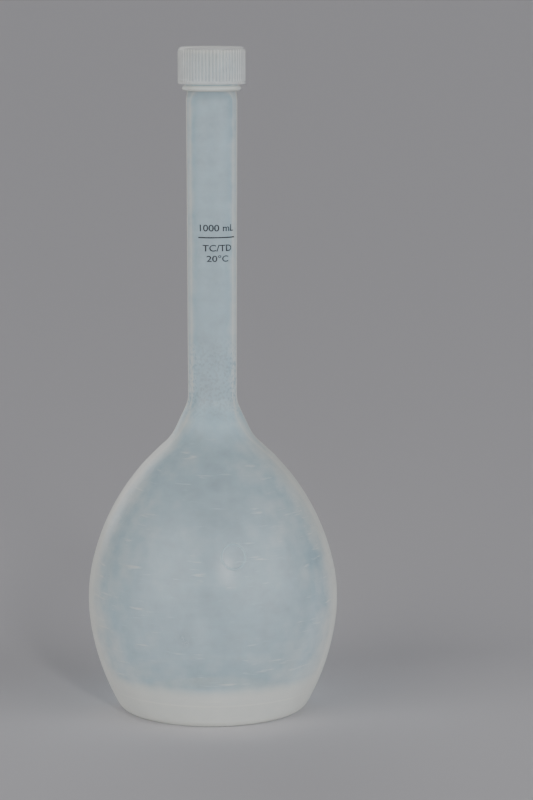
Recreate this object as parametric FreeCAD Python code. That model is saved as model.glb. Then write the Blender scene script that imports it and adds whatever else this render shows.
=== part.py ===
import FreeCAD, Part
import math
import os

# Plastic volumetric flask, 1000 mL, with its screw cap seated.
# Millimetres and degrees. Z is the flask's axis, pointing up, and the foot stands on Z = 0.
# A slope is the angle between the wall and the vertical, so it is also the rise of the wall's normal.

# Bulb
height = 311.5  # foot to mouth
bulb_radius = 59.3
bulb_wall = 1.6
belly_height = 53.2  # widest ring above the foot
belly_arc = 79.5  # meridian radius round the widest ring
belly_slope_above = 12.7  # slope where the belly band meets the shoulder
belly_slope_below = 7.5  # slope where the belly band meets the lower side
lower_arc = 110.5  # meridian radius of the side below the belly
shoulder_slope = 47.4  # slope at the top of the shoulder
shoulder_straight = 4.3

# Foot: a heel round, a narrow flat ring to stand on, and a bottom pushed up inside it
heel_arc = 7.0
foot_ring_width = 2.0
push_up_arc = 5.0
push_up_height = 4.0

# Throat between the shoulder and the neck: two bends with a short cone between them
throat_lower_arc = 23.0
throat_slope = 25.0
throat_straight = 11.0
throat_upper_arc = 13.0

# Neck and its screw finish
neck_radius = 11.85  # outside, at the top of the neck
neck_taper = 0.45  # how much less the radius is at the throat
neck_wall = 2.0
waist_draw = 0.35  # drawn in just under the collar
waist_length = 4.5
finish_step = 0.6  # the wall that carries the thread stands out from the neck by this
collar_stand = 1.25  # and the collar from that wall
collar_width = 2.6
collar_below_mouth = 16.4  # mouth to the collar's mid plane
lip_slope_depth = 0.55
lip_slope_length = 2.2
lip_round = 0.4

# Thread, right-handed, on the neck
pitch = 3.7
neck_thread_height = 1.15
neck_thread_base = 2.4  # axial widths
neck_thread_land = 0.5
neck_thread_turns = 1.95
neck_thread_start = -120.0  # angle about Z, seen from above, from +X
neck_thread_bottom = 10.9  # mouth to the middle of the ridge at its lower end
thread_run_out = 50.0
thread_root_depth = 0.35  # how far a ridge is buried in the wall it grows from
thread_end_depth = 0.175  # how far its crest sinks below the wall at both ends

# Printed line for the nominal capacity
line_below_mouth = 85.3
line_width = 0.6
line_ink = 0.12
line_middle = -75.0  # angle about Z of the middle of the print
line_span = 94.0

# Cap shell
cap_bore_clearance = 0.55  # to the crest of the neck's ridge
cap_wall = 1.2  # under the ribs
cap_top = 1.6
cap_edge_round = 2.6
cap_skirt_gap = 0.8  # skirt to collar
cap_lip_height = 1.3  # plain lip at the open end
rib_count = 60
rib_height = 0.45
rib_share = 0.55  # width of a rib's foot over the ribs' spacing
rib_crest_share = 0.6  # width of its crest over the width of its foot
cap_thread_clearance = 0.35  # from the crest of the cap's ridge to the neck's wall
cap_thread_base = 2.2
cap_thread_land = 0.6
cap_thread_turns = 1.75
cap_thread_above_lip = 1.9
thread_flank_gap = 0.25

# Sealing insert: a disc under the cap's top, with a plug ring that enters the neck
seat_gap = 0.05
disc_thickness = 1.2
disc_clearance = 0.4
plug_clearance = 0.12
plug_wall = 1.3
plug_length = 4.6
plug_tip_depth = 0.5
plug_tip_length = 1.0

nominal_volume = 1000.0  # mL, to the printed line

TURN = 360.0
THREAD_STEP = 15.0  # degrees between the sections of a ridge
AXIS = FreeCAD.Vector(0, 0, 1)
ORIGIN = FreeCAD.Vector(0, 0, 0)

neck_bore_radius = neck_radius - neck_wall
neck_low_radius = neck_radius - neck_taper
finish_radius = neck_radius + finish_step
neck_thread_crest = finish_radius + neck_thread_height
collar_height = height - collar_below_mouth
cap_skirt_height = collar_height + collar_width / 2 + cap_skirt_gap
disc_underside = height + seat_gap
cap_ceiling = disc_underside + disc_thickness + seat_gap
cap_height = cap_ceiling + cap_top
cap_bore_radius = neck_thread_crest + cap_bore_clearance
cap_thread_crest = finish_radius + cap_thread_clearance
cap_radius = cap_bore_radius + cap_wall


def at(radius, z):
    return FreeCAD.Vector(radius, 0, z)


def line(start, end):
    return Part.LineSegment(start, end).toShape()


def arc(centre, radius, start, end):
    """Arc about centre, with its angles in degrees from the radial direction up to Z."""
    points = []
    for angle in (start, (start + end) / 2, end):
        turn = math.radians(angle)
        points.append(centre + FreeCAD.Vector(radius * math.cos(turn), 0, radius * math.sin(turn)))
    return Part.Arc(*points).toShape()


def normal(slope):
    turn = math.radians(slope)
    return FreeCAD.Vector(math.cos(turn), 0, math.sin(turn))


def uphill(slope):
    turn = math.radians(slope)
    return FreeCAD.Vector(-math.sin(turn), 0, math.cos(turn))


def start_of(edge):
    return edge.valueAt(edge.FirstParameter)


def end_of(edge):
    return edge.valueAt(edge.LastParameter)


def chain(pieces):
    """Joins the given arcs with straight lines wherever one doesn't start where the last ended."""
    edges = [pieces[0]]
    for piece in pieces[1:]:
        if (start_of(piece) - end_of(edges[-1])).Length > 1e-6:
            edges.append(line(end_of(edges[-1]), start_of(piece)))
        edges.append(piece)
    return edges


def shoulder_arc(inset, neck_inset):
    """Meridian radius that leads from the belly band to the throat with no step."""
    rise = math.cos(math.radians(belly_slope_above))
    top = math.cos(math.radians(shoulder_slope))
    bend = math.cos(math.radians(throat_slope))
    belly_end = bulb_radius - inset - (belly_arc - inset) * (1 - rise)
    throat_end = neck_low_radius - neck_inset
    throat_end += (throat_upper_arc + inset) * (1 - bend)
    throat_end += throat_straight * math.sin(math.radians(throat_slope))
    throat_end += (throat_lower_arc + inset) * (bend - top)
    throat_end += shoulder_straight * math.sin(math.radians(shoulder_slope))
    return (belly_end - throat_end) / (rise - top)


def bulb_edges(inset, neck_inset):
    """Edges from the foot's middle up to the bottom of the neck, for the skin at the given inset."""
    belly_middle = at(bulb_radius - belly_arc, belly_height)
    lower_middle = belly_middle + normal(-belly_slope_below) * (belly_arc - lower_arc)
    heel_reach = lower_arc - heel_arc
    heel_drop = lower_middle.z - heel_arc
    heel_middle = at(lower_middle.x + math.sqrt(heel_reach**2 - heel_drop**2), heel_arc)
    heel_slope = math.degrees(math.asin(heel_drop / heel_reach))

    ring_inside = heel_middle.x - foot_ring_width
    reach = (ring_inside**2 + push_up_height**2) / (2 * push_up_height)
    dome_arc = reach - push_up_arc
    dome_turn = math.degrees(math.asin(ring_inside / reach))
    dome = arc(at(0, push_up_height - dome_arc), dome_arc + inset, 90, 90 - dome_turn)
    push_up = arc(at(ring_inside, push_up_arc), push_up_arc - inset, -90 - dome_turn, -90)
    heel = arc(heel_middle, heel_arc - inset, -90, -heel_slope)
    lower = arc(lower_middle, lower_arc - inset, -heel_slope, -belly_slope_below)
    belly = arc(belly_middle, belly_arc - inset, -belly_slope_below, belly_slope_above)

    radius = shoulder_arc(inset, neck_inset)
    shoulder_middle = belly_middle + normal(belly_slope_above) * (belly_arc - inset - radius)
    shoulder = arc(shoulder_middle, radius, belly_slope_above, shoulder_slope)
    foot_of_throat = end_of(shoulder) + uphill(shoulder_slope) * shoulder_straight
    low_radius = throat_lower_arc + inset
    low_middle = foot_of_throat + normal(shoulder_slope) * low_radius
    low_bend = arc(low_middle, low_radius, 180 + shoulder_slope, 180 + throat_slope)
    top_of_cone = end_of(low_bend) + uphill(throat_slope) * throat_straight
    high_radius = throat_upper_arc + inset
    high_middle = top_of_cone + normal(throat_slope) * high_radius
    high_bend = arc(high_middle, high_radius, 180 + throat_slope, 180)
    return chain([dome, push_up, heel, lower, belly, shoulder, low_bend, high_bend])


def finish_edges(neck_bottom):
    """Edges of the outside of the neck, from its bottom up over the collar to the mouth."""
    below = collar_height - collar_width / 2
    above = collar_height + collar_width / 2
    waist_end = at(neck_radius, below - waist_length)
    collar_foot = at(neck_radius - waist_draw, below)
    collar_top = at(finish_radius, above)
    lip_foot = at(finish_radius, height - lip_slope_length)
    lip_edge = at(finish_radius - lip_slope_depth, height - lip_round)
    collar_crest = at(finish_radius + collar_stand, collar_height)
    collar = Part.Arc(collar_foot, collar_crest, collar_top).toShape()
    outer_round = arc(lip_edge - at(lip_round, 0), lip_round, 0, 90)
    inner_round = arc(at(neck_bore_radius + lip_round, height - lip_round), lip_round, 90, 180)
    return [
        line(neck_bottom, waist_end),
        line(waist_end, collar_foot),
        collar,
        line(collar_top, lip_foot),
        line(lip_foot, lip_edge),
        outer_round,
        line(end_of(outer_round), start_of(inner_round)),
        inner_round,
    ]


def turned(edges):
    """Solid of revolution from a closed outline on one side of the axis."""
    face = Part.Face(Part.Wire(Part.__sortEdges__(edges)))
    return face.revolve(ORIGIN, AXIS, TURN)


def ridge_section(angle, z, root, crest, base, land):
    """Outline of a thread ridge in the plane through the axis at the given angle."""
    turn = math.radians(angle)
    corners = []
    for radius, offset in ((root, -base / 2), (crest, -land / 2), (crest, land / 2), (root, base / 2)):
        corners.append(FreeCAD.Vector(radius * math.cos(turn), radius * math.sin(turn), z + offset))
    return Part.makePolygon(corners + [corners[0]])


def ridge(wall, crest, base, land, start, turns, bottom):
    """Right-handed thread ridge on a round wall, sinking into the wall at both of its ends."""
    outward = 1 if crest > wall else -1
    root = wall - outward * thread_root_depth
    depth = abs(crest - wall)
    flank = (base - land) / 2 / depth
    buried_base = base + 2 * flank * thread_root_depth
    steps = round(turns * TURN / THREAD_STEP)
    sections = []
    for step in range(steps + 1):
        run = step * turns * TURN / steps
        from_end = min(run, turns * TURN - run, thread_run_out) / thread_run_out
        rise = math.sin(math.radians(90 * from_end))
        sunk = wall - outward * thread_end_depth
        tip = sunk + (crest - sunk) * rise
        z = bottom + pitch * run / TURN
        sections.append(ridge_section(start + run, z, root, tip, buried_base, land))
    return Part.makeLoft(sections, True, False)


def flask_body():
    """Bulb, neck, collar and neck thread: one blow-moulded shell of even wall."""
    outside = bulb_edges(0, 0)
    inside = bulb_edges(bulb_wall, neck_wall)
    bore_end = at(neck_bore_radius, collar_height)
    finish = finish_edges(end_of(outside[-1]))
    rest = [
        line(end_of(finish[-1]), bore_end),
        line(bore_end, end_of(inside[-1])),
        line(start_of(outside[0]), start_of(inside[0])),
    ]
    shell = turned(outside + finish + inside + rest)
    thread = ridge(
        finish_radius,
        neck_thread_crest,
        neck_thread_base,
        neck_thread_land,
        neck_thread_start,
        neck_thread_turns,
        height - neck_thread_bottom,
    )
    return shell.fuse(thread)


def capacity():
    """Inner volume up to the printed line, in millilitres."""
    inside = bulb_edges(bulb_wall, neck_wall)
    neck_bottom = end_of(inside[-1])
    level = height - line_below_mouth
    bore_end = at(neck_bore_radius, collar_height)
    share = (level - neck_bottom.z) / (bore_end.z - neck_bottom.z)
    surface = neck_bottom + (bore_end - neck_bottom) * share
    rest = [
        line(neck_bottom, surface),
        line(surface, at(0, level)),
        line(at(0, level), start_of(inside[0])),
    ]
    return turned(inside + rest).Volume / 1000


def graduation_line():
    """Printed line round the front of the neck, lying on its outside."""
    neck_bottom = end_of(bulb_edges(0, 0)[-1]).z
    neck_top = collar_height - collar_width / 2 - waist_length
    level = height - line_below_mouth
    corners = []
    for z, ink in ((-1, 0), (-1, 1), (1, 1), (1, 0)):
        edge = level + z * line_width / 2
        share = (edge - neck_bottom) / (neck_top - neck_bottom)
        skin = neck_low_radius + neck_taper * share
        corners.append(at(skin + ink * line_ink, edge))
    band = Part.Face(Part.makePolygon(corners + [corners[0]])).revolve(ORIGIN, AXIS, line_span)
    band.rotate(ORIGIN, AXIS, line_middle - line_span / 2)
    return band


def ribbed_prism():
    """Upright prism with the ribs' outline, from the lip to the cap's top."""
    spacing = TURN / rib_count
    edges = []
    corner = None
    for index in range(rib_count):
        middle = index * spacing
        half = spacing * rib_share / 2
        crest = half * rib_crest_share
        marks = ((cap_radius, -half), (cap_radius + rib_height, -crest))
        marks += ((cap_radius + rib_height, crest), (cap_radius, half))
        points = []
        for radius, offset in marks:
            turn = math.radians(middle + offset)
            points.append(FreeCAD.Vector(radius * math.cos(turn), radius * math.sin(turn), 0))
        if corner:
            edges.append(line(corner, points[0]))
        for first, second in zip(points, points[1:]):
            edges.append(line(first, second))
        corner = points[-1]
    edges.append(line(corner, start_of(edges[0])))
    prism = Part.Face(Part.Wire(edges)).extrude(FreeCAD.Vector(0, 0, cap_height - cap_skirt_height))
    prism.translate(FreeCAD.Vector(0, 0, cap_skirt_height))
    return prism


def cap_shell():
    """Ribbed screw cap, closed at the top, with a plain lip and a thread inside."""
    rib_radius = cap_radius + rib_height
    edge = arc(at(rib_radius - cap_edge_round, cap_height - cap_edge_round), cap_edge_round, 0, 90)
    lip_top = cap_skirt_height + cap_lip_height
    skirt = line(at(rib_radius, cap_skirt_height), at(rib_radius, cap_height - cap_edge_round))
    top = line(end_of(edge), at(0, cap_height))
    axis_side = line(at(0, cap_height), at(0, cap_skirt_height))
    bottom = line(at(0, cap_skirt_height), at(rib_radius, cap_skirt_height))
    envelope = turned([skirt, edge, top, axis_side, bottom])
    lip = Part.makeCylinder(rib_radius, lip_top - cap_skirt_height, at(0, cap_skirt_height))
    hollow = Part.makeCylinder(cap_bore_radius, cap_ceiling - cap_skirt_height, at(0, cap_skirt_height))
    offset = thread_offset()
    lower_end = cap_skirt_height + cap_thread_above_lip
    climb = lower_end - (height - neck_thread_bottom - offset)
    thread = ridge(
        cap_bore_radius,
        cap_thread_crest,
        cap_thread_base,
        cap_thread_land,
        neck_thread_start + climb / pitch * TURN,
        cap_thread_turns,
        lower_end,
    )
    return ribbed_prism().common(envelope).fuse(lip).cut(hollow).fuse(thread)


def thread_offset():
    """How far the cap's ridge runs below the neck's ridge, with the given gap between their flanks."""
    neck_flank = (neck_thread_base - neck_thread_land) / 2 / (neck_thread_crest - finish_radius)
    cap_flank = (cap_thread_base - cap_thread_land) / 2 / (cap_bore_radius - cap_thread_crest)
    widest = 0
    for radius in (cap_thread_crest, neck_thread_crest):
        neck_half = neck_thread_land / 2 + neck_flank * (neck_thread_crest - radius)
        cap_half = cap_thread_land / 2 + cap_flank * (radius - cap_thread_crest)
        widest = max(widest, neck_half + cap_half)
    return widest + thread_flank_gap


def cap_seal():
    """Sealing insert: a disc that bears on the mouth, and a plug ring that enters the neck."""
    disc_radius = cap_bore_radius - disc_clearance
    plug_radius = neck_bore_radius - plug_clearance
    plug_end = disc_underside - plug_length
    outline = [
        at(0, disc_underside + disc_thickness),
        at(disc_radius, disc_underside + disc_thickness),
        at(disc_radius, disc_underside),
        at(plug_radius, disc_underside),
        at(plug_radius, plug_end + plug_tip_length),
        at(plug_radius - plug_tip_depth, plug_end),
        at(plug_radius - plug_wall, plug_end),
        at(plug_radius - plug_wall, disc_underside),
        at(0, disc_underside),
    ]
    edges = [line(first, second) for first, second in zip(outline, outline[1:] + outline[:1])]
    return turned(edges)


os.makedirs("parts", exist_ok=True)
for node in (flask_body, graduation_line, cap_seal, cap_shell):
    solid = node()
    solid.exportStep(f"parts/{node.__name__}.step")
    box = solid.BoundBox
    print(node.__name__, solid.isValid(), len(solid.Solids), round(solid.Volume), "mm3", box)
print("holds", round(capacity(), 1), "mL to the line, nominal", nominal_volume)
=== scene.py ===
import math

import bmesh
import bpy
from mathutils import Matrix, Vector, noise


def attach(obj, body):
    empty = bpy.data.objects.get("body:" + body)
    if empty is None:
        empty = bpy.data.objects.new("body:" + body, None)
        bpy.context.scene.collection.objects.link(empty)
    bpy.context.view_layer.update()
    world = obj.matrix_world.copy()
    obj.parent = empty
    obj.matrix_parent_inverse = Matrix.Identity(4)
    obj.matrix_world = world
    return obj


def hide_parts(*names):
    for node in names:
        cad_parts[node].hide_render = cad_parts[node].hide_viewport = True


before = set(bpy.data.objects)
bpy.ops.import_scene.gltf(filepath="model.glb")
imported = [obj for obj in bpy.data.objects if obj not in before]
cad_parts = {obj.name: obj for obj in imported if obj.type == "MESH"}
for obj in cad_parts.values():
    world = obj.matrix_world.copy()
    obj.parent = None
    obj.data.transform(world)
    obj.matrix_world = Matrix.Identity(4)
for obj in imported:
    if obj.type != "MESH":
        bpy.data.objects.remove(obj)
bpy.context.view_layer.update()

# ---------------------------------------------------------------------------
# The bench: a pale grey sheet with no edge in sight, under wide soft lamps that
# stand low at both sides. The camera stands a little above the mouth.
# ---------------------------------------------------------------------------
BENCH_SIZE = 6000.0
BENCH_PALE = (0.62, 0.612, 0.64, 1)
CAMERA_PLACE = (0.0256, -1.3273, 0.3360)
CAMERA_DOWN = math.radians(8.051)
LENS, SENSOR = 84.909, 24.0  # both in millimetres, the sensor from its top to its bottom
ROOM_TINT, ROOM_LIGHT = (0.64, 0.64, 0.7, 1), 0.1


class Amount:
    """A socket of a node tree that can be used in arithmetic."""

    def __init__(self, finish, socket):
        self.finish = finish
        self.socket = socket

    def out(self, name):
        return Amount(self.finish, self.socket.node.outputs[name])

    def maths(self, operation, *others):
        values = dict(enumerate((self, *others)))
        return self.finish.add("Math", {"operation": operation}, values)

    def __add__(self, other):
        return self.maths("ADD", other)

    def __sub__(self, other):
        return self.maths("SUBTRACT", other)

    def __mul__(self, other):
        return self.maths("MULTIPLY", other)

    def __truediv__(self, other):
        return self.maths("DIVIDE", other)

    def __pow__(self, other):
        return self.maths("POWER", other)

    def __rsub__(self, other):
        return (self * -1) + other

    __radd__ = __add__
    __rmul__ = __mul__


class Finish:
    """A material while its nodes are put in."""

    def __init__(self, name):
        self.material = bpy.data.materials.new(name)
        self.material.use_nodes = True
        self.tree = self.material.node_tree
        self.tree.nodes.clear()

    def add(self, kind, settings=None, values=None):
        """Puts in one node, with its settings first and then what its sockets hold."""
        node = self.tree.nodes.new("ShaderNode" + kind)
        for name, setting in (settings or {}).items():
            setattr(node, name, setting)
        for name, value in (values or {}).items():
            if isinstance(value, Amount):
                self.tree.links.new(value.socket, node.inputs[name])
            else:
                node.inputs[name].default_value = value
        return Amount(self, node.outputs[0] if node.outputs else None)

    def colour_between(self, share, first, second):
        """A colour that goes from first to second as share goes from 0 to 1."""
        made = self.add("Mix", {"data_type": "RGBA"}, {0: share, 6: first, 7: second})
        return Amount(self, made.socket.node.outputs[2])

    def close(self, shader):
        self.add("OutputMaterial", None, {"Surface": shader})
        return self.material


def clear_selection():
    if bpy.context.object and bpy.context.object.mode != "OBJECT":
        bpy.ops.object.mode_set(mode="OBJECT")
    bpy.ops.object.select_all(action="DESELECT")


clear_selection()
bpy.ops.mesh.primitive_plane_add(size=BENCH_SIZE, location=(0, 0, 0))
bench = bpy.context.object
bench.name = "bench"
paper = Finish("pale_paper")
bench.data.materials.append(
    paper.close(paper.add("BsdfDiffuse", None, {"Color": BENCH_PALE}))
)

view = bpy.data.cameras.new("view")
view.sensor_fit = "VERTICAL"
view.sensor_height = SENSOR
view.lens = LENS
view.clip_end = BENCH_SIZE
camera = bpy.data.objects.new("camera", view)
camera.location = CAMERA_PLACE
camera.rotation_euler = (math.pi / 2 - CAMERA_DOWN, 0, 0)
bpy.context.collection.objects.link(camera)
bpy.context.scene.camera = camera


def lamp(name, kind, place, aim, energy, tint, sizes):
    """One soft lamp pointed at aim, with the sizes that its kind has."""
    light = bpy.data.lights.new(name, kind)
    for size, value in sizes.items():
        setattr(light, size, value)
    light.energy = energy
    light.color = tint
    holder = bpy.data.objects.new(name, light)
    holder.location = place
    holder.rotation_euler = (Vector(aim) - Vector(place)).to_track_quat("-Z", "Y").to_euler()
    bpy.context.collection.objects.link(holder)


MIDDLE = (0, 0, 0.16)
WIDE = {"angle": math.radians(55)}
lamp("left_wide", "SUN", (-1.0, -1.1, 0.5), MIDDLE, 2.0, (1.0, 0.985, 0.96), WIDE)
lamp("right_wide", "SUN", (1.2, -0.9, 0.46), MIDDLE, 1.95, (0.96, 0.98, 1.0), WIDE)
lamp("back_wide", "SUN", (-0.3, 1.0, 0.4), MIDDLE, 1.0, (1.0, 1.0, 1.0), WIDE)
WINDOW = {"shape": "RECTANGLE", "size": 0.13, "size_y": 0.13}
lamp("window", "AREA", (0.33, -1.30, 0.60), MIDDLE, 4.0, (1.0, 0.99, 0.97), WINDOW)

world = bpy.data.worlds.new("room")
bpy.context.scene.world = world
world.use_nodes = True
room = world.node_tree.nodes["Background"]
room.inputs["Color"].default_value = ROOM_TINT
room.inputs["Strength"].default_value = ROOM_LIGHT


# ---------------------------------------------------------------------------
# The flask: one shell of milky polypropylene, blown in a two-part mould. The
# foot, bulb, neck, collar, thread and lip are one piece with an even wall.
# ---------------------------------------------------------------------------
MM = 0.001
NEAR = 0.01  # millimetres within which a corner counts as lying on a surface
HEIGHT = 311.5
BULB_RADIUS, BULB_WALL = 59.3, 1.6
BELLY_HEIGHT, BELLY_ARC, BELLY_ABOVE, BELLY_BELOW = 53.2, 79.5, 12.7, 7.5
LOWER_ARC, HEEL_ARC, RING_WIDTH, PUSH_ARC, PUSH_HEIGHT = 110.5, 7.0, 2.0, 5.0, 4.0
SHOULDER_SLOPE, SHOULDER_STRAIGHT = 47.4, 4.3
THROAT_SLOPE, THROAT_STRAIGHT, THROAT_LOW_ARC, THROAT_HIGH_ARC = 25.0, 11.0, 23.0, 13.0
NECK_RADIUS, NECK_TAPER, NECK_WALL = 11.85, 0.45, 2.0
WAIST_DRAW, WAIST_LENGTH = 0.35, 4.5
FINISH_STEP, COLLAR_STAND, COLLAR_WIDTH, COLLAR_BELOW = 0.6, 1.25, 2.6, 16.4
LIP_DEPTH, LIP_LENGTH, LIP_ROUND = 0.55, 2.2, 0.4
PITCH, RIDGE_HEIGHT, RIDGE_BASE, RIDGE_LAND = 3.7, 1.15, 2.4, 0.5
RIDGE_TURNS, RIDGE_START, RIDGE_BELOW, RUN_OUT = 1.95, -120.0, 10.9, 50.0
ROUND_STEPS = 192
OUTSIDE_SPACING, INSIDE_SPACING, NECK_SPACING = 1.8, 3.0, 6.0
BORE_TOP_SPACING, BORE_SPACING = 3.0, 8.0
THREAD_SPACING, LIP_SPACING = 0.22, 0.15
COLLAR_HEIGHT = HEIGHT - COLLAR_BELOW
BORE_RADIUS = NECK_RADIUS - NECK_WALL
FINISH_RADIUS = NECK_RADIUS + FINISH_STEP


def arc(middle, radius, start, end, spacing):
    """Points of an arc, as (radius from the axis, height), its angles in degrees above outward."""
    count = max(2, math.ceil(abs(math.radians(end - start)) * radius / spacing))
    points = []
    for step in range(count + 1):
        turn = math.radians(start + (end - start) * step / count)
        points.append((middle[0] + radius * math.cos(turn), middle[1] + radius * math.sin(turn)))
    return points


def straight(start, end, spacing):
    """Points between start and end, both left out."""
    length = math.dist(start, end)
    count = max(1, math.ceil(length / spacing))
    return [
        tuple(a + (b - a) * step / count for a, b in zip(start, end)) for step in range(1, count)
    ]


def away(slope, length):
    """The step of that length along the outward normal of a wall at this slope."""
    turn = math.radians(slope)
    return length * math.cos(turn), length * math.sin(turn)


def moved(point, step):
    return point[0] + step[0], point[1] + step[1]


def bulb_outline(inset, neck_inset, spacing):
    """The wall's outline from the middle of the foot up to the neck, at an inset from outside."""
    belly_middle = (BULB_RADIUS - BELLY_ARC, BELLY_HEIGHT)
    lower_middle = moved(belly_middle, away(-BELLY_BELOW, BELLY_ARC - LOWER_ARC))
    reach, drop = LOWER_ARC - HEEL_ARC, lower_middle[1] - HEEL_ARC
    heel = (lower_middle[0] + math.sqrt(reach**2 - drop**2), HEEL_ARC)
    heel_slope = math.degrees(math.asin(drop / reach))
    ring = heel[0] - RING_WIDTH
    dome_reach = (ring**2 + PUSH_HEIGHT**2) / (2 * PUSH_HEIGHT)
    dome_arc = dome_reach - PUSH_ARC
    dome_turn = math.degrees(math.asin(ring / dome_reach))
    low, top, bend = (
        math.cos(math.radians(slope)) for slope in (BELLY_ABOVE, SHOULDER_SLOPE, THROAT_SLOPE)
    )
    throat = NECK_RADIUS - NECK_TAPER - neck_inset + (THROAT_HIGH_ARC + inset) * (1 - bend)
    throat += THROAT_STRAIGHT * math.sin(math.radians(THROAT_SLOPE))
    throat += (THROAT_LOW_ARC + inset) * (bend - top)
    throat += SHOULDER_STRAIGHT * math.sin(math.radians(SHOULDER_SLOPE))
    belly = BULB_RADIUS - inset - (BELLY_ARC - inset) * (1 - low)
    shoulder_arc = (belly - throat) / (low - top)
    shoulder = moved(belly_middle, away(BELLY_ABOVE, BELLY_ARC - inset - shoulder_arc))

    points = arc((0, PUSH_HEIGHT - dome_arc), dome_arc + inset, 90, 90 - dome_turn, spacing)
    points += arc((ring, PUSH_ARC), PUSH_ARC - inset, -90 - dome_turn, -90, spacing / 3)[1:]
    points += arc(heel, HEEL_ARC - inset, -90, -heel_slope, spacing / 3)
    points += arc(lower_middle, LOWER_ARC - inset, -heel_slope, -BELLY_BELOW, spacing)[1:]
    points += arc(belly_middle, BELLY_ARC - inset, -BELLY_BELOW, BELLY_ABOVE, spacing)[1:]
    points += arc(shoulder, shoulder_arc, BELLY_ABOVE, SHOULDER_SLOPE, spacing)[1:]
    for slope, length, radius, next_slope in (
        (SHOULDER_SLOPE, SHOULDER_STRAIGHT, THROAT_LOW_ARC, THROAT_SLOPE),
        (THROAT_SLOPE, THROAT_STRAIGHT, THROAT_HIGH_ARC, 0),
    ):
        end = moved(points[-1], away(slope + 90, length))
        points += straight(points[-1], end, spacing)
        middle = moved(end, away(slope, radius + inset))
        points += arc(middle, radius + inset, 180 + slope, 180 + next_slope, spacing)
    return points


def quarter_round(start, end, level_first, steps=6):
    """Points of a quarter of an ellipse, after start, that leaves it level or else upright."""
    points = []
    for step in range(1, steps + 1):
        angle = math.pi / 2 * step / steps
        out, up = math.sin(angle), 1 - math.cos(angle)
        if not level_first:
            out, up = up, out
        points.append((start[0] + (end[0] - start[0]) * out, start[1] + (end[1] - start[1]) * up))
    return points


def finish_outline():
    """The outside of the neck from its waist over the collar, the thread's wall and the lip."""
    below, above = COLLAR_HEIGHT - COLLAR_WIDTH / 2, COLLAR_HEIGHT + COLLAR_WIDTH / 2
    foot, top = (NECK_RADIUS - WAIST_DRAW, below), (FINISH_RADIUS, above)
    crest = (FINISH_RADIUS + COLLAR_STAND, COLLAR_HEIGHT)
    points = [(NECK_RADIUS, below - WAIST_LENGTH), foot]
    points += quarter_round(foot, crest, True) + quarter_round(crest, top, False)
    lip_foot = (FINISH_RADIUS, HEIGHT - LIP_LENGTH)
    points += straight(top, lip_foot, THREAD_SPACING)
    points.append(lip_foot)
    rim = FINISH_RADIUS - LIP_DEPTH - LIP_ROUND
    points += straight(lip_foot, (rim + LIP_ROUND, HEIGHT - LIP_ROUND), 2 * LIP_SPACING)
    points += arc((rim, HEIGHT - LIP_ROUND), LIP_ROUND, 0, 90, LIP_SPACING)
    points += arc((BORE_RADIUS + LIP_ROUND, HEIGHT - LIP_ROUND), LIP_ROUND, 90, 180, LIP_SPACING)
    return points


def turned(name, points, steps=ROUND_STEPS):
    """A closed skin of revolution about Z. Its points start and end on the axis."""
    clear_selection()
    bpy.ops.mesh.primitive_plane_add(size=1)
    made = bpy.context.object
    made.name = name
    bpy.ops.object.mode_set(mode="EDIT")
    shape = bmesh.from_edit_mesh(made.data)
    bmesh.ops.delete(shape, geom=list(shape.verts)[1:], context="VERTS")
    only = list(shape.verts)[0]
    only.co = (points[0][0] * MM, 0, points[0][1] * MM)
    only.select_set(True)
    bmesh.update_edit_mesh(made.data)
    for start, end in zip(points, points[1:]):
        step = ((end[0] - start[0]) * MM, 0, (end[1] - start[1]) * MM)
        bpy.ops.mesh.extrude_region_move(TRANSFORM_OT_translate={"value": step})
    bpy.ops.mesh.select_all(action="SELECT")
    bpy.ops.mesh.spin(steps=steps, angle=2 * math.pi, center=(0, 0, 0), axis=(0, 0, 1))
    bpy.ops.mesh.select_all(action="SELECT")
    bpy.ops.mesh.remove_doubles(threshold=1e-6)
    bpy.ops.mesh.normals_make_consistent(inside=False)
    bpy.ops.object.mode_set(mode="OBJECT")
    bpy.ops.object.shade_smooth()
    return made


def ridge_rise(angle, height, start, bottom, turns, base, land, run_out):
    """How far out of its wall a thread ridge stands at this place, from 0 to 1.

    The ridge starts at that angle and bottom height, and sinks into the wall at both ends."""
    best = 0.0
    for lap in range(-1, math.ceil(turns) + 2):
        run = (angle - start) % 360 + 360 * lap
        if not 0 <= run <= turns * 360:
            continue
        centre = bottom + PITCH * run / 360
        off = abs(height - centre)
        slope = min(1.0, max(0.0, (base / 2 - off) / ((base - land) / 2)))
        rounded = slope * slope * (3 - 2 * slope)
        ends = min(run, turns * 360 - run, run_out) / run_out
        best = max(best, (0.5 * slope + 0.5 * rounded) * math.sin(math.pi / 2 * ends))
    return best


outside = bulb_outline(0, 0, OUTSIDE_SPACING)
inside = bulb_outline(BULB_WALL, NECK_WALL, INSIDE_SPACING)
finish = finish_outline()
neck_up = straight(outside[-1], finish[0], NECK_SPACING)
bore = (BORE_RADIUS, COLLAR_HEIGHT)
bore_down = straight(finish[-1], bore, BORE_TOP_SPACING) + [bore]
bore_down += straight(bore, inside[-1], BORE_SPACING)
flask = turned("flask_shell", outside + neck_up + finish + bore_down + inside[::-1])

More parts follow.
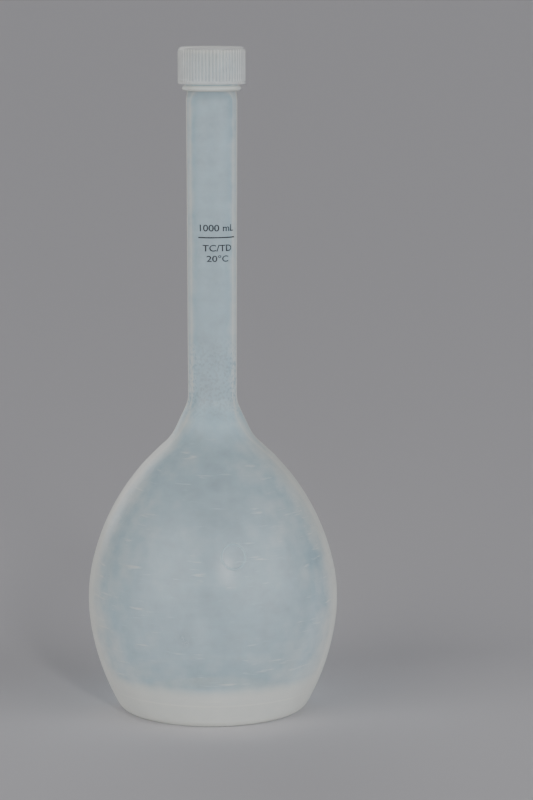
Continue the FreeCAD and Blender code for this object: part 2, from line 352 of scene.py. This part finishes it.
for vertex in flask.data.vertices:
    radius = math.hypot(vertex.co.x, vertex.co.y) / MM
    height = vertex.co.z / MM
    on_finish = COLLAR_HEIGHT + COLLAR_WIDTH / 2 < height < HEIGHT - LIP_LENGTH + NEAR
    if on_finish and radius > FINISH_RADIUS - NEAR:
        angle = math.degrees(math.atan2(vertex.co.y, vertex.co.x))
        rise = ridge_rise(
            angle, height, RIDGE_START, HEIGHT - RIDGE_BELOW, RIDGE_TURNS,
            RIDGE_BASE, RIDGE_LAND, RUN_OUT,
        )
        swell = 1 + RIDGE_HEIGHT * rise / radius
        vertex.co.x *= swell
        vertex.co.y *= swell

# The halves of the mould met in the plane Y = 0, and a blown wall is never quite even.
PARTING_STAND, PARTING_HALF = 0.10, 0.35
WAVE_DEPTH, WAVE_LENGTH, WAVE_TOP, WAVE_FADE, WAVE_FOOT = 0.18, 34.0, 120.0, 40.0, 20.0
clear_selection()
bpy.context.view_layer.objects.active = flask
flask.select_set(True)
bpy.ops.object.mode_set(mode="EDIT")
for side in (-PARTING_HALF, PARTING_HALF):
    bpy.ops.mesh.select_all(action="SELECT")
    bpy.ops.mesh.bisect(plane_co=(0, side * MM, 0), plane_no=(0, 1, 0))
bpy.ops.object.mode_set(mode="OBJECT")
outward = [v.normal.x * v.co.x + v.normal.y * v.co.y > 0 for v in flask.data.vertices]
for vertex, outer_skin in zip(flask.data.vertices, outward):
    place = vertex.co / MM
    radius = math.hypot(place.x, place.y)
    if radius < 1:  # the poles
        continue
    fade = min(1.0, max(0.0, (WAVE_TOP - place.z) / WAVE_FADE)) * min(1.0, place.z / WAVE_FOOT)
    wave = 0.5 + 0.5 * noise.noise(place / WAVE_LENGTH)
    grow = -WAVE_DEPTH * wave * fade
    if abs(place.y) < NEAR and outer_skin and place.z < COLLAR_HEIGHT:
        grow = min(grow + PARTING_STAND, BULB_RADIUS - radius)
    vertex.co.x *= 1 + grow / radius
    vertex.co.y *= 1 + grow / radius

# A plain moulded ring, flatter than it is wide, stands on the front of the bulb.
MARK_TURN, MARK_HEIGHT, MARK_RADIUS, MARK_SECTION, MARK_FLATNESS = -78.7, 83.1, 5.5, 0.55, 0.8
clear_selection()
bpy.ops.mesh.primitive_torus_add(
    major_radius=MARK_RADIUS * MM,
    minor_radius=MARK_SECTION * MM,
    major_segments=96,
    minor_segments=14,
)
mark = bpy.context.object
mark_turn = math.radians(MARK_TURN)
for vertex in mark.data.vertices:
    across, up, stand = vertex.co / MM
    height = MARK_HEIGHT + up
    above = next(i for i, point in enumerate(outside) if point[1] > height)
    low, top = outside[above - 1], outside[above]
    skin = low[0] + (top[0] - low[0]) * (height - low[1]) / (top[1] - low[1])
    skin += stand * MARK_FLATNESS - WAVE_DEPTH / 2
    turn = mark_turn + across / skin
    vertex.co = (skin * math.cos(turn) * MM, skin * math.sin(turn) * MM, height * MM)
bpy.ops.object.mode_set(mode="EDIT")
bpy.ops.mesh.select_all(action="SELECT")
bpy.ops.mesh.normals_make_consistent(inside=False)
bpy.ops.object.mode_set(mode="OBJECT")
bpy.ops.object.shade_smooth()
bpy.context.view_layer.objects.active = flask
flask.select_set(True)
bpy.ops.object.join()

CLEAR = (1, 1, 1, 1)
THIN_HAZE = (0.60, 0.80, 0.885, 1)  # thin polypropylene scatters blue
THICK_HAZE = (0.95, 0.94, 0.875, 1)  # and thick polypropylene looks like cream
HAZE_PER_MM = 0.33
HAZE_FADE, NECK_FADE = 0.8, 0.27  # powers: twice the way in the wall clouds less than twice as much
MOST_SHEEN, BEHIND_SHARE = 0.14, 0.42
PLASTIC_SHINE, INNER_SHINE, INNER_TINT = 1.42, 1.22, (0.9, 0.95, 1, 1)
INNER_ROUGHNESS, INNER_REACH = 0.32, 0.0583  # the reach in metres, short of the bulb's outside
# Where one part of the shell gives way to the next, each from and to a height in metres.
BULB_TO_NECK, FOOT_TO_HEEL, HEEL_TO_BULB = (0.126, 0.158), (0.0016, 0.0034), (0.015, 0.0225)
COLLAR_RISE, COLLAR_FALL = (0.2936, 0.2943), (0.2960, 0.2967)
SEAM_RISE, SEAM_FALL = (0.0113, 0.0117), (0.0119, 0.0123)  # round the mould's bottom plug
SPECKLE_RISE, SPECKLE_FALL = (0.135, 0.150), (0.165, 0.185)
BACK_TO_FRONT = (-0.025, 0.010)  # across the flask, as the heel is milkier on its printed side
# How much each of them clouds, in millimetres of wall or as a share of the wall that is there.
CLOUDS, STREAKS, PATCHES, LEAST = 0.8, 0.4, 1.3, -0.25
# The first on the next line is painted highlight: sparse white streaks of extra haze that stand in
# for glints of the lamps.
PAINTED_GLINTS, HEEL, SEAM, FOOT, COLLAR = 2.2, 4.5, 4.0, 9.0, 9.0
RIM, NECK_RIM, RIM_POWER = 12.0, 20.0, 8
NECK_CLEARER, SPECKLE_CLEARER = 0.2, 0.4
THICK_FROM, THICK_RATE = 1.2, 0.9  # in thicknesses of the wall


def step_up(amount, low, high):
    """0 below low and 1 above high, with a soft way between."""
    settings = {"interpolation_type": "SMOOTHSTEP"}
    values = {"Value": amount, "From Min": low, "From Max": high}
    return amount.finish.add("MapRange", settings, values)


def between(amount, rise, fall):
    """1 from the end of the rise to the start of the fall, and 0 outside both."""
    return step_up(amount, *rise) * (1 - step_up(amount, *fall))


def way_in_wall(finish, radius, cosine, wall):
    """How far light goes inside a round wall, in millimetres, when it meets it at this cosine."""
    bore = radius - wall
    hidden = bore * bore - radius * radius * (1 - cosine * cosine)
    return (radius * cosine - hidden.maths("MAXIMUM", 0.0) ** 0.5) * (1 / MM)


def milky(finish, haze, colours, depth, roughness, bump, shine):
    """Translucent plastic, from clear where haze is 0 to clouded where it is 1, with a soft sheen.

    Its two colours are those of a thin and of a thick wall, and depth goes from one to the other."""
    thin, thick = colours
    colour = finish.colour_between(depth, thin, thick)
    skin = {"Base Color": colour, "Roughness": roughness, "Normal": bump}
    front = finish.add("BsdfPrincipled", None, {**skin, "Specular IOR Level": 0.0})
    thin_glow = finish.add("BsdfTranslucent", None, {"Color": thin, "Normal": bump})
    thick_glow = finish.add("BsdfTranslucent", None, {"Color": thick, "Normal": bump})
    behind = finish.add("MixShader", None, {0: depth, 1: thin_glow, 2: thick_glow})
    cloud = finish.add("MixShader", None, {0: BEHIND_SHARE, 1: front, 2: behind})
    see = finish.add("BsdfTransparent", None, {"Color": CLEAR})
    wall = finish.add("MixShader", None, {0: haze, 1: see, 2: cloud})
    gloss = finish.add("BsdfGlossy", None, {"Color": CLEAR, "Roughness": roughness, "Normal": bump})
    mirror = finish.add("Fresnel", None, {"IOR": shine, "Normal": bump})
    sheen = mirror.maths("MINIMUM", MOST_SHEEN)
    return finish.close(finish.add("MixShader", None, {0: sheen, 1: wall, 2: gloss}))


pp = Finish("flask_polypropylene")
place = pp.add("TexCoord").out("Object")
axes = pp.add("SeparateXYZ", None, {0: place})
across, along, height = axes.out("X"), axes.out("Y"), axes.out("Z")
radius = (across * across + along * along) ** 0.5
cosine = 1 - pp.add("LayerWeight", None, {"Blend": 0.5}).out("Facing")
on_neck = step_up(height, *BULB_TO_NECK)
neck_wall = (radius - BORE_RADIUS * MM).maths("MAXIMUM", NECK_WALL * MM)
wall = on_neck * (neck_wall - BULB_WALL * MM) + BULB_WALL * MM
way = way_in_wall(pp, radius, cosine, wall)
foot = 1 - step_up(height, *FOOT_TO_HEEL)
clouds = pp.add("TexNoise", None, {"Vector": place, "Scale": 24.0, "Detail": 3.0})
drawn = pp.add("Mapping", {"vector_type": "TEXTURE"}, {"Vector": place, "Scale": (6.0, 6.0, 0.35)})
streaks = pp.add("TexNoise", None, {"Vector": drawn, "Scale": 60.0, "Detail": 4.0})
speckle = pp.add("TexNoise", None, {"Vector": place, "Scale": 700.0, "Detail": 1.0})
low_neck = between(height, SPECKLE_RISE, SPECKLE_FALL)
front = 1 - step_up(along, *BACK_TO_FRONT)
heel = (1 - step_up(height, *HEEL_TO_BULB)) * front
seam = between(height, SEAM_RISE, SEAM_FALL)
collar = between(height, COLLAR_RISE, COLLAR_FALL)
way = (way * MM / wall) ** (on_neck * NECK_FADE + HAZE_FADE) * wall * (1 / MM)
rim = (1 - cosine) ** RIM_POWER * (on_neck * NECK_RIM + RIM)
# Short horizontal streaks: painted highlights that stand in for glints of the lamps on the moulded
# skin, and a little real relief in the bump.
glint_stretch = pp.add("Mapping", {"vector_type": "TEXTURE"}, {"Vector": place, "Scale": (1.0, 1.0, 0.12)})
glint_noise = pp.add("TexNoise", None, {"Vector": glint_stretch, "Scale": 70.0, "Detail": 2.0})
painted_glints_and_bumps = step_up(glint_noise, 0.62, 0.80)
patches = pp.add("TexNoise", None, {"Vector": place, "Scale": 95.0, "Detail": 4.0})
way = way * (clouds * CLOUDS + streaks * STREAKS + patches * PATCHES + LEAST) + rim
# Painted highlight: the streaks add haze off the neck, so they show as white dashes whatever the
# lamps do.
way = way + painted_glints_and_bumps * (1 - on_neck) * PAINTED_GLINTS
way = way + heel * HEEL + seam * SEAM + foot * FOOT + collar * COLLAR
specks = low_neck * step_up(speckle, 0.42, 0.66)
way = way * (1 - on_neck * NECK_CLEARER) * (1 - specks * SPECKLE_CLEARER)
haze = 1 - (way * -HAZE_PER_MM).maths("EXPONENT")
laps = way * MM / wall
depth = 1 - ((laps - THICK_FROM).maths("MAXIMUM", 0.0) * -THICK_RATE).maths("EXPONENT")
fine = pp.add("TexNoise", None, {"Vector": place, "Scale": 700.0, "Detail": 2.0})
relief = streaks * 0.7 + clouds * 1.2 + painted_glints_and_bumps * 0.25 + fine * 0.03
bump = pp.add("Bump", None, {"Height": relief, "Strength": 0.25, "Distance": 0.0012})
roughness = fine * 0.12 + 0.24
hazes = (THIN_HAZE, THICK_HAZE)
flask.data.materials.append(milky(pp, haze, hazes, depth, roughness, bump, PLASTIC_SHINE))

# One skin of the wall carries its haze, and the other is clear with a faint gloss.
inner = Finish("flask_inner_skin")
gloss = inner.add("BsdfGlossy", None, {"Color": INNER_TINT, "Roughness": INNER_ROUGHNESS})
clear = inner.add("BsdfTransparent", None, {"Color": CLEAR})
mirror = inner.add("Fresnel", None, {"IOR": INNER_SHINE})
inner_skin = inner.add("MixShader", None, {0: mirror, 1: clear, 2: gloss})
flask.data.materials.append(inner.close(inner_skin))
for face in flask.data.polygons:
    sight = face.normal.x * face.center.x + face.normal.y * face.center.y
    sight += face.normal.z * MM
    if sight < 0 and math.hypot(face.center.x, face.center.y) < INNER_REACH:
        face.material_index = 1
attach(flask, "flask")
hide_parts("flask_body")

# ---------------------------------------------------------------------------
# The print: black ink, screened on the neck in an arc round its front. The words
# over and under the line say how much the flask holds, how, and at what warmth.
# ---------------------------------------------------------------------------
PRINT_TURN, INK_STAND, INK_SINK, INK_SPREAD = -75.0, 0.055, 0.05, 0.012
CUTS_PER_MM = 2
# Each has its name, its words, and the height, tallness and width of its place on the neck.
WORDS = (
    ("print_volume", "1000 mL", 230.7, 3.2, 17.6),
    ("print_method", "TC/TD", 221.3, 3.1, 14.7),
    ("print_warmth", "20\u00b0C", 216.4, 3.1, 10.8),
)
INK_BLACK, INK_WORN = (0.012, 0.012, 0.016, 1), (0.05, 0.055, 0.07, 1)


def neck_skin(height):
    """Radius of the outside of the neck at a height."""
    low, top = outside[-1], finish[0]
    return low[0] + (top[0] - low[0]) * (height - low[1]) / (top[1] - low[1])


ink = Finish("black_ink")
ink_place = ink.add("TexCoord").out("Object")
worn = ink.add("TexNoise", None, {"Vector": ink_place, "Scale": 1500.0, "Detail": 3.0})
ink_colour = ink.colour_between(step_up(worn, 0.45, 0.75), INK_BLACK, INK_WORN)
ink_rough = worn * 0.2 + 0.35
ink_skin = ink.add("BsdfPrincipled", None, {"Base Color": ink_colour, "Roughness": ink_rough})
black_ink = ink.close(ink_skin)
for name, words, level, tall, wide in WORDS:
    clear_selection()
    bpy.ops.object.text_add(location=(0, 0, 0))
    word = bpy.context.object
    word.name = name
    word.data.body = words
    word.data.align_x = "CENTER"
    word.data.offset = INK_SPREAD
    bpy.ops.object.convert(target="MESH")
    word = bpy.context.object
    low = Vector(min(v.co[i] for v in word.data.vertices) for i in range(3))
    top = Vector(max(v.co[i] for v in word.data.vertices) for i in range(3))
    for vertex in word.data.vertices:
        vertex.co.x = (vertex.co.x - (low.x + top.x) / 2) * wide / (top.x - low.x)
        vertex.co.y = (vertex.co.y - (low.y + top.y) / 2) * tall / (top.y - low.y)
        vertex.co.z = 0
    bpy.ops.object.mode_set(mode="EDIT")
    for cut in range(-math.floor(wide), math.ceil(wide)):
        bpy.ops.mesh.select_all(action="SELECT")
        bpy.ops.mesh.bisect(plane_co=(cut / CUTS_PER_MM, 0, 0), plane_no=(1, 0, 0))
    bpy.ops.mesh.select_all(action="SELECT")
    bpy.ops.mesh.remove_doubles(threshold=1e-4)
    bpy.ops.mesh.extrude_region_move(
        TRANSFORM_OT_translate={"value": (0, 0, INK_STAND + INK_SINK)}
    )
    bpy.ops.mesh.select_all(action="SELECT")
    bpy.ops.mesh.normals_make_consistent(inside=False)
    bpy.ops.object.mode_set(mode="OBJECT")
    for vertex in word.data.vertices:
        skin = neck_skin(level + vertex.co.y) + vertex.co.z - INK_SINK
        turn = math.radians(PRINT_TURN) + vertex.co.x / skin
        place = (skin * math.cos(turn), skin * math.sin(turn), level + vertex.co.y)
        vertex.co = Vector(place) * MM
    word.data.materials.append(black_ink)
    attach(word, "flask")
line = bpy.data.objects["graduation_line"]
line.data.materials.clear()
line.data.materials.append(black_ink)

# ---------------------------------------------------------------------------
# The sealing insert: a moulded disc under the cap's top, with a plug ring that
# enters the neck. Cream polyethylene, snapped into the cap.
# ---------------------------------------------------------------------------
SEAT_GAP, DISC_THICK, DISC_RADIUS, SEAL_STEPS = 0.05, 1.2, 13.75, 128
PLUG_RADIUS, PLUG_WALL, PLUG_LENGTH, PLUG_TIP_DEPTH, PLUG_TIP_LENGTH = 9.73, 1.3, 4.6, 0.5, 1.0
TOP_RING, SEAT_RING, MIDDLE_RING, PLUG_RING = 5, 11, 4, 2  # they keep flats flat under smooth shading
SEAL_CREAM, SEAL_DEEP = (0.86, 0.84, 0.72, 1), (0.93, 0.89, 0.72, 1)
SEAL_HAZE, SEAL_MOTTLE = 0.68, 0.2
EDGE_ROUND, EDGE_SPACING, EDGE_BREAK, INNER_BREAK = 0.2, 0.1, 0.1, 0.3
under = HEIGHT + SEAT_GAP
disc_top = under + DISC_THICK
plug_end = under - PLUG_LENGTH
plug_bore = PLUG_RADIUS - PLUG_WALL
disc_round = DISC_RADIUS - EDGE_ROUND
plug_tip = PLUG_RADIUS - PLUG_TIP_DEPTH
seal_outline = [(0, disc_top), (TOP_RING, disc_top)]
seal_outline += arc((disc_round, disc_top - EDGE_ROUND), EDGE_ROUND, 90, 0, EDGE_SPACING)
seal_outline += arc((disc_round, under + EDGE_ROUND), EDGE_ROUND, 0, -90, EDGE_SPACING)
seal_outline += [(SEAT_RING, under), (PLUG_RADIUS, under), (PLUG_RADIUS, under - PLUG_RING)]
seal_outline += [(PLUG_RADIUS, plug_end + PLUG_TIP_LENGTH), (plug_tip, plug_end + EDGE_BREAK)]
seal_outline += [(plug_tip - EDGE_BREAK, plug_end), (plug_bore + EDGE_BREAK, plug_end)]
seal_outline += [(plug_bore, plug_end + EDGE_BREAK), (plug_bore, under - INNER_BREAK)]
seal_outline += [(plug_bore - INNER_BREAK, under), (MIDDLE_RING, under), (0, under)]
seal = turned("seal_insert", seal_outline[::-1], SEAL_STEPS)
cream = Finish("seal_polyethylene")
seal_place = cream.add("TexCoord").out("Object")
mottle = cream.add("TexNoise", None, {"Vector": seal_place, "Scale": 260.0, "Detail": 2.0})
seal_bump = cream.add("Bump", None, {"Height": mottle, "Strength": 0.12, "Distance": 0.0003})
seal_haze = mottle * SEAL_MOTTLE + SEAL_HAZE
seal_rough = mottle * 0.1 + 0.3
creams = (SEAL_CREAM, SEAL_DEEP)
seal_skin = milky(cream, seal_haze, creams, mottle, seal_rough, seal_bump, PLASTIC_SHINE)
seal.data.materials.append(seal_skin)
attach(seal, "seal")
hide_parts("cap_seal")

# ---------------------------------------------------------------------------
# The cap: injection-moulded natural polypropylene. Sixty ribs run from a plain
# lip up into the rounded edge of the top, and a thread inside takes the neck's.
# ---------------------------------------------------------------------------
SKIRT_LOW, CEILING, CAP_TOP = 297.2, 312.8, 314.4
CAP_BORE, CAP_WALL, CAP_EDGE, LIP_HEIGHT = 14.15, 1.2, 2.6, 1.3
RIB_COUNT, RIB_STAND, RIB_SHARE, RIB_CREST = 60, 0.45, 0.55, 0.6
CAP_CREST, CAP_RIDGE_BASE, CAP_RIDGE_LAND, CAP_RIDGE_TURNS = 12.8, 2.2, 0.6, 1.75
CAP_RIDGE_START, CAP_RIDGE_LOW, CAP_STEPS = -123.8, 299.1, 480
CAP_TOP_RING, CEILING_RING, CEILING_BREAK, RIB_FOOT = 6, 7, 0.3, 0.25
SKIRT_BREAK, BORE_BREAK, BORE_EDGE = 0.06, 0.25, (0.05, 0.08)
CAP_EDGE_SPACING, RIB_SPACING, CAP_THREAD_SPACING = 0.22, 1.2, 0.24
THIN_CAP, THICK_CAP = (0.84, 0.88, 0.90, 1), (0.97, 0.965, 0.94, 1)
CAP_SHINE, CAP_THICK_FROM, CAP_THICK_RATE = 1.45, 1.2, 0.5
CAP_HAZE_PER_MM, RIB_HAZE, TOP_HAZE, TOP_EDGE = 0.33, 2.4, 3.0, (0.3132, 0.3138)
cap_radius = CAP_BORE + CAP_WALL
rib_radius = cap_radius + RIB_STAND
round_middle = (rib_radius - CAP_EDGE, CAP_TOP - CAP_EDGE)
lip_top = SKIRT_LOW + LIP_HEIGHT
rib_foot = (rib_radius, lip_top + RIB_FOOT)
bore_top = (CAP_BORE, CEILING - CEILING_BREAK)
cap_outline = [(0, CAP_TOP), (CAP_TOP_RING, CAP_TOP)]
cap_outline += arc(round_middle, CAP_EDGE, 90, 0, CAP_EDGE_SPACING)
cap_outline += straight(cap_outline[-1], rib_foot, RIB_SPACING)
cap_outline += [rib_foot, (rib_radius, lip_top), (rib_radius, SKIRT_LOW + EDGE_ROUND)]
cap_outline += [(rib_radius - SKIRT_BREAK, SKIRT_LOW + SKIRT_BREAK)]
cap_outline += [(rib_radius - EDGE_ROUND, SKIRT_LOW), (CAP_BORE + BORE_BREAK, SKIRT_LOW)]
cap_outline += [moved((CAP_BORE, SKIRT_LOW), BORE_EDGE), (CAP_BORE, SKIRT_LOW + BORE_BREAK)]
cap_outline += straight(cap_outline[-1], bore_top, CAP_THREAD_SPACING) + [bore_top]
cap_outline += [(CAP_BORE - CEILING_BREAK, CEILING), (CEILING_RING, CEILING), (0, CEILING)]
cap = turned("screw_cap", cap_outline[::-1], CAP_STEPS)
rib_turn = 360 / RIB_COUNT
for vertex in cap.data.vertices:
    radius = math.hypot(vertex.co.x, vertex.co.y) / MM
    height = vertex.co.z / MM
    angle = math.degrees(math.atan2(vertex.co.y, vertex.co.x))
    grow = 0.0
    if radius > CAP_BORE + NEAR and height > lip_top + RIB_FOOT / 2:
        off = abs((angle + rib_turn / 2) % rib_turn - rib_turn / 2) / (rib_turn * RIB_SHARE / 2)
        slope = min(1.0, max(0.0, (1 - off) / (1 - RIB_CREST)))
        grow = min(0.0, cap_radius + RIB_STAND * slope * slope * (3 - 2 * slope) - radius)
    elif abs(radius - CAP_BORE) < NEAR:
        rise = ridge_rise(
            angle, height, CAP_RIDGE_START, CAP_RIDGE_LOW, CAP_RIDGE_TURNS,
            CAP_RIDGE_BASE, CAP_RIDGE_LAND, RUN_OUT,
        )
        grow = (CAP_CREST - CAP_BORE) * rise
    if grow:
        vertex.co.x *= 1 + grow / radius
        vertex.co.y *= 1 + grow / radius
natural = Finish("cap_polypropylene")
cap_place = natural.add("TexCoord").out("Object")
cap_axes = natural.add("SeparateXYZ", None, {0: cap_place})
cap_x, cap_y, cap_z = cap_axes.out("X"), cap_axes.out("Y"), cap_axes.out("Z")
cap_r = (cap_x * cap_x + cap_y * cap_y) ** 0.5
cap_cosine = 1 - natural.add("LayerWeight", None, {"Blend": 0.5}).out("Facing")
cap_wall = (cap_r - CAP_BORE * MM).maths("MAXIMUM", CAP_WALL * MM)
cap_ribs = (cap_wall - CAP_WALL * MM) * (RIB_HAZE / MM)
cap_way = way_in_wall(natural, cap_r, cap_cosine, cap_wall) + cap_ribs
cap_cloud = natural.add("TexNoise", None, {"Vector": cap_place, "Scale": 160.0, "Detail": 3.0})
cap_fine = natural.add("TexNoise", None, {"Vector": cap_place, "Scale": 2200.0, "Detail": 1.0})
cap_way = cap_way * (cap_cloud * 0.6 + 0.7)
cap_way = cap_way.maths("MAXIMUM", step_up(cap_z, *TOP_EDGE) * TOP_HAZE)
cap_haze = 1 - (cap_way * -CAP_HAZE_PER_MM).maths("EXPONENT")
cap_thick = (cap_way - CAP_THICK_FROM).maths("MAXIMUM", 0.0)
cap_depth = 1 - (cap_thick * -CAP_THICK_RATE).maths("EXPONENT")
cap_whites = (THIN_CAP, THICK_CAP)
cap_relief = cap_cloud * 0.6 + cap_fine * 0.08
cap_bump = natural.add("Bump", None, {"Height": cap_relief, "Strength": 0.15, "Distance": 0.0004})
cap_rough = cap_fine * 0.1 + 0.2
cap_skin = milky(natural, cap_haze, cap_whites, cap_depth, cap_rough, cap_bump, CAP_SHINE)
cap.data.materials.append(cap_skin)
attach(cap, "cap")
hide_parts("cap_shell")
